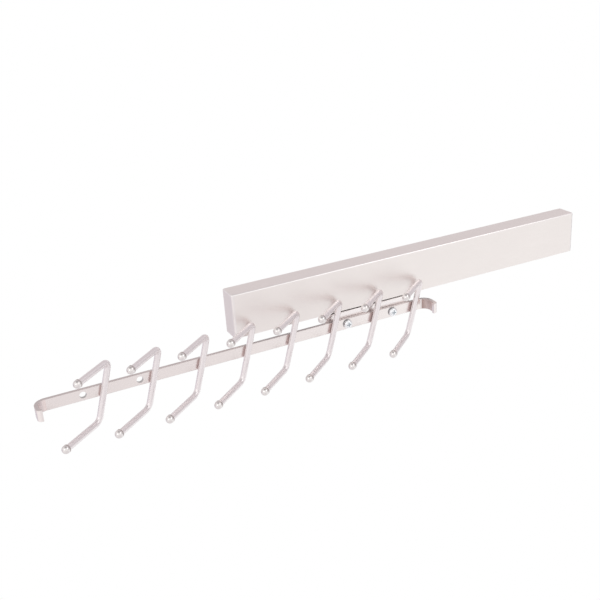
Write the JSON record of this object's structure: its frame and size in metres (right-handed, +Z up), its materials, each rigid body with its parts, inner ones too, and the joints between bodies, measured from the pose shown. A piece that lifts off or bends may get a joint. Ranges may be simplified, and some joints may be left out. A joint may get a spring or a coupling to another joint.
{
  "type": "pull-out tie rack",
  "caption": "Wall-fixed pull-out tie rack: a flat bar with a row of leaning double hooks slides out sideways on a ball slide under a long box cover.",
  "frame": {"origin": "middle of the fixed rail's back face, on the wall plane, at the cover's mid-height and mid-length", "axes": "+X to the right along the slide (the bar pulls out along -X), +Y into the wall, +Z up"},
  "size_m": [0.515, 0.0539, 0.0774],
  "materials": {
    "satin_nickel": "satin nickel plate",
    "galvanised_steel": "galvanised",
    "zinc_plated_steel": "bright zinc plate",
    "bearing_steel": "polished",
    "glossy_tip": "glossy, nickel coloured",
    "black_rubber": "matt",
    "grey_nylon": "matt"
  },
  "bodies": {
    "fixed": {"cover": "satin_nickel", "outer_rail": "galvanised_steel", "left_end_block": "grey_nylon", "right_end_block": "grey_nylon", "left_bumper": "black_rubber", "right_bumper": "black_rubber", "left_cover_screw": "zinc_plated_steel", "right_cover_screw": "zinc_plated_steel"},
    "cage": {"ball_retainer": "zinc_plated_steel", "upper_ball_1": "bearing_steel", "upper_ball_2": "bearing_steel", "upper_ball_3": "bearing_steel", "upper_ball_4": "bearing_steel", "upper_ball_5": "bearing_steel", "upper_ball_6": "bearing_steel", "upper_ball_7": "bearing_steel", "lower_ball_1": "bearing_steel", "lower_ball_2": "bearing_steel", "lower_ball_3": "bearing_steel", "lower_ball_4": "bearing_steel", "lower_ball_5": "bearing_steel", "lower_ball_6": "bearing_steel", "lower_ball_7": "bearing_steel"},
    "carriage": {"inner_rail": "galvanised_steel", "bracket": "zinc_plated_steel", "bracket_rivet_1": "galvanised_steel", "bracket_rivet_2": "galvanised_steel", "hook_bar": "satin_nickel", "bar_screw_1": "zinc_plated_steel", "bar_screw_2": "zinc_plated_steel", "bar_nut_1": "zinc_plated_steel", "bar_nut_2": "zinc_plated_steel", "hook_1": "satin_nickel", "hook_2": "satin_nickel", "hook_3": "satin_nickel", "hook_4": "satin_nickel", "hook_5": "satin_nickel", "hook_6": "satin_nickel", "hook_7": "satin_nickel", "hook_8": "satin_nickel", "upper_tip_1": "glossy_tip", "lower_tip_1": "glossy_tip", "upper_tip_2": "glossy_tip", "lower_tip_2": "glossy_tip", "upper_tip_3": "glossy_tip", "lower_tip_3": "glossy_tip", "upper_tip_4": "glossy_tip", "lower_tip_4": "glossy_tip", "upper_tip_5": "glossy_tip", "lower_tip_5": "glossy_tip", "upper_tip_6": "glossy_tip", "lower_tip_6": "glossy_tip", "upper_tip_7": "glossy_tip", "lower_tip_7": "glossy_tip", "upper_tip_8": "glossy_tip", "lower_tip_8": "glossy_tip"}
  },
  "joints": [
    {"name": "bar_slide", "type": "slide", "parent": "fixed", "child": "carriage", "axis": [1, 0, 0], "range_m": [0, 0.165]},
    {"name": "cage_slide", "type": "slide", "parent": "fixed", "child": "cage", "axis": [1, 0, 0], "range_m": [0, 0.0825]}
  ],
  "couplings": [
    {"joint": "cage_slide", "follows": "bar_slide", "ratio": 0.5}
  ]
}
